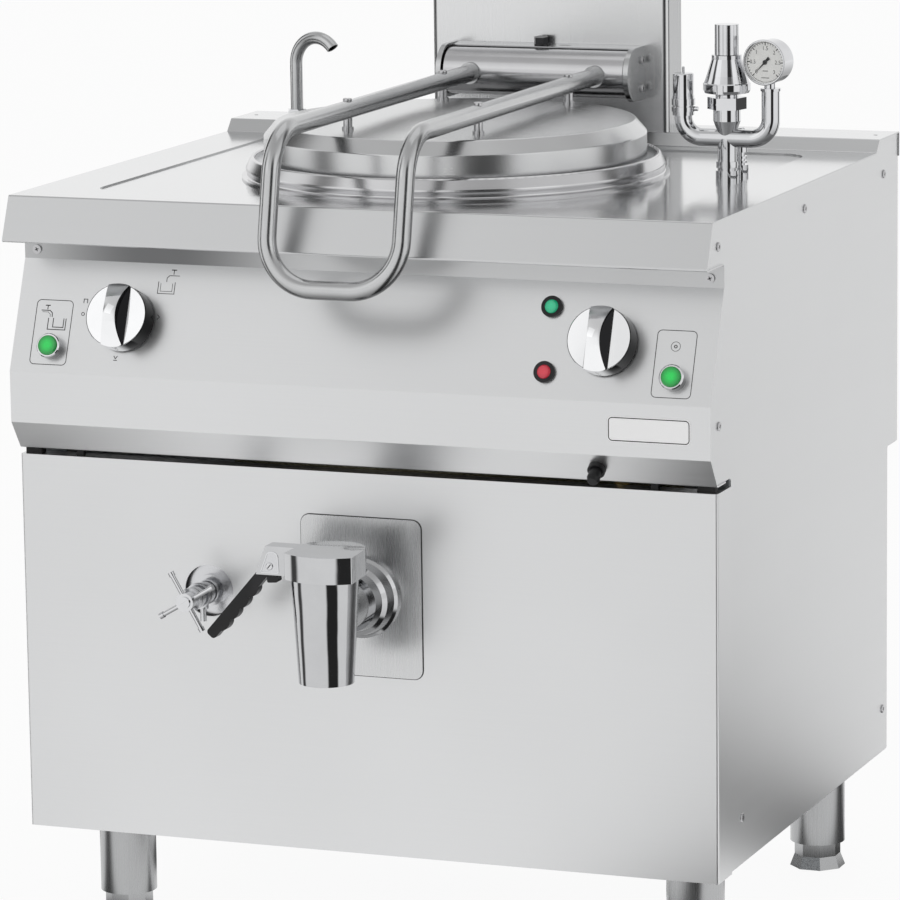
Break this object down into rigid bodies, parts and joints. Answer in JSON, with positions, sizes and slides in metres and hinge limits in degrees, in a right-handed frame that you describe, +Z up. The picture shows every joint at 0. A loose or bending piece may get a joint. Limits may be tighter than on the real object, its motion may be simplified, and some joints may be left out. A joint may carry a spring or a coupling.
{
  "type": "steam jacketed kettle",
  "caption": "Gas-heated indirect boiling pan on an 800 mm cabinet, with balanced lid, drain tap, level tap, filler spout, safety group and rear flue column.",
  "frame": {"origin": "on the floor, under the centre of the outline with the lid shut and the feet screwed in", "axes": "+Z up, +X to the right of someone at the controls, which face -Y"},
  "size_m": [0.8, 0.8131, 1.1],
  "materials": {
    "stainless": "fine brushed",
    "polished": "bright polished",
    "chrome": "mirror",
    "galvanised": "dull zinc",
    "brass": "plain",
    "mineral_wool": "matt fibre",
    "black_plastic": "satin",
    "black_rubber": "matt",
    "green_lens": "gloss",
    "red_lens": "gloss",
    "gauge_glass": "clear"
  },
  "bodies": {
    "cabinet": {"worktop": "stainless", "control_panel": "stainless", "rear_panel": "stainless", "side_panel_left": "stainless", "side_panel_right": "stainless", "front_panel": "stainless", "base_frame": "galvanised", "leg_tubes": "stainless", "kettle_vessel": "stainless", "collar": "polished", "jacket_shell": "stainless", "insulation": "mineral_wool", "drain_pipe": "stainless", "flue_duct": "galvanised", "burner": "galvanised", "supply_pipes": "brass", "control_valves": "brass", "flue_column": "stainless", "flue_cap": "stainless", "spout_nut": "chrome", "hinge_bracket": "polished", "fixings": "stainless", "safety_manifold": "chrome", "vacuum_valve_body": "chrome", "safety_valve_body": "chrome", "gauge_case": "chrome", "gauge_lens": "gauge_glass", "feed_union": "chrome", "control_bezels": "black_plastic", "button_switches": "chrome", "lamp_green": "green_lens", "lamp_red": "red_lens", "igniter_bush": "black_plastic", "tap_plate": "stainless", "tap_union": "chrome", "tap_body": "chrome", "level_tap": "chrome", "panel_stops": "black_rubber"},
    "lid": {"lid": "polished", "lid_handle": "polished", "lid_standoffs": "polished", "hinge_drum": "polished"},
    "strainer": {"strainer": "polished"},
    "spout": {"spout": "polished"},
    "water_knob": {"water_knob": "chrome"},
    "gas_knob": {"gas_knob": "chrome"},
    "fill_button": {"fill_button": "green_lens"},
    "ignition_button": {"ignition_button": "green_lens"},
    "igniter_button": {"igniter_button": "black_plastic"},
    "gauge_pointer": {"gauge_pointer": "black_plastic"},
    "vacuum_valve_pin": {"vacuum_valve_pin": "chrome"},
    "safety_valve_cap": {"safety_valve_cap": "chrome"},
    "tap_cap": {"tap_cap": "chrome", "tap_plug": "brass"},
    "tap_lever": {"tap_lever": "black_plastic"},
    "level_tap_handle": {"level_tap_handle": "chrome"},
    "foot_front_left": {"foot_front_left": "stainless"},
    "foot_front_right": {"foot_front_right": "stainless"},
    "foot_rear_left": {"foot_rear_left": "stainless"},
    "foot_rear_right": {"foot_rear_right": "stainless"}
  },
  "joints": [
    {"name": "lid_hinge", "type": "hinge", "parent": "cabinet", "child": "lid", "pos_m": [0, 0.3025, 0.912], "axis": [-1, 0, 0], "range_deg": [0, 80]},
    {"name": "strainer_pull", "type": "slide", "parent": "cabinet", "child": "strainer", "axis": [0, 1, 0], "range_m": [0, 0.026]},
    {"name": "spout_swivel", "type": "hinge", "parent": "cabinet", "child": "spout", "pos_m": [-0.331, 0.3645, 0.85], "axis": [0, 0, 1], "range_deg": [-75, 75]},
    {"name": "water_knob_turn", "type": "hinge", "parent": "cabinet", "child": "water_knob", "pos_m": [-0.271, -0.2634, 0.69647], "axis": [0, -0.9306, 0.3659], "range_deg": [-90, 90]},
    {"name": "gas_knob_turn", "type": "hinge", "parent": "cabinet", "child": "gas_knob", "pos_m": [0.279, -0.2634, 0.69647], "axis": [0, -0.9306, 0.3659], "range_deg": [0, 270]},
    {"name": "fill_button_push", "type": "slide", "parent": "cabinet", "child": "fill_button", "axis": [0, 0.9306, -0.3659], "range_m": [0, 0.004], "stiffness_N_per_m": 600, "springref_m": -0.003},
    {"name": "ignition_button_push", "type": "slide", "parent": "cabinet", "child": "ignition_button", "axis": [0, 0.9306, -0.3659], "range_m": [0, 0.004], "stiffness_N_per_m": 600, "springref_m": -0.003},
    {"name": "igniter_push", "type": "slide", "parent": "cabinet", "child": "igniter_button", "axis": [0, 0.824, 0.5665], "range_m": [0, 0.006], "stiffness_N_per_m": 800, "springref_m": -0.004},
    {"name": "gauge_needle", "type": "hinge", "parent": "cabinet", "child": "gauge_pointer", "pos_m": [0.35, 0.0715, 0.958], "axis": [0.1392, 0.9903, 0], "range_deg": [0, 270]},
    {"name": "vacuum_pin_lift", "type": "slide", "parent": "cabinet", "child": "vacuum_valve_pin", "axis": [0, 0, 1], "range_m": [0, 0.003]},
    {"name": "safety_cap_turn", "type": "hinge", "parent": "cabinet", "child": "safety_valve_cap", "pos_m": [0.302, 0.0715, 0.97], "axis": [0, 0, 1], "range_deg": [0, 90]},
    {"name": "tap_turn", "type": "hinge", "parent": "cabinet", "child": "tap_cap", "pos_m": [0, -0.3665, 0.452], "axis": [0, 0, 1], "range_deg": [0, 90]},
    {"name": "lever_lift", "type": "hinge", "parent": "tap_cap", "child": "tap_lever", "pos_m": [-0.0685, -0.3475, 0.458], "axis": [0, 1, 0], "range_deg": [0, 20], "stiffness_Nm_per_rad": 0.6, "springref_deg": -20.05},
    {"name": "level_tap_turn", "type": "hinge", "parent": "cabinet", "child": "level_tap_handle", "pos_m": [-0.1785, -0.3185, 0.405], "axis": [0, -1, 0], "range_deg": [0, 360]},
    {"name": "foot_front_left_adjust", "type": "slide", "parent": "cabinet", "child": "foot_front_left", "axis": [0, 0, -1], "range_m": [0, 0.04]},
    {"name": "foot_front_right_adjust", "type": "slide", "parent": "cabinet", "child": "foot_front_right", "axis": [0, 0, -1], "range_m": [0, 0.04]},
    {"name": "foot_rear_left_adjust", "type": "slide", "parent": "cabinet", "child": "foot_rear_left", "axis": [0, 0, -1], "range_m": [0, 0.04]},
    {"name": "foot_rear_right_adjust", "type": "slide", "parent": "cabinet", "child": "foot_rear_right", "axis": [0, 0, -1], "range_m": [0, 0.04]}
  ]
}
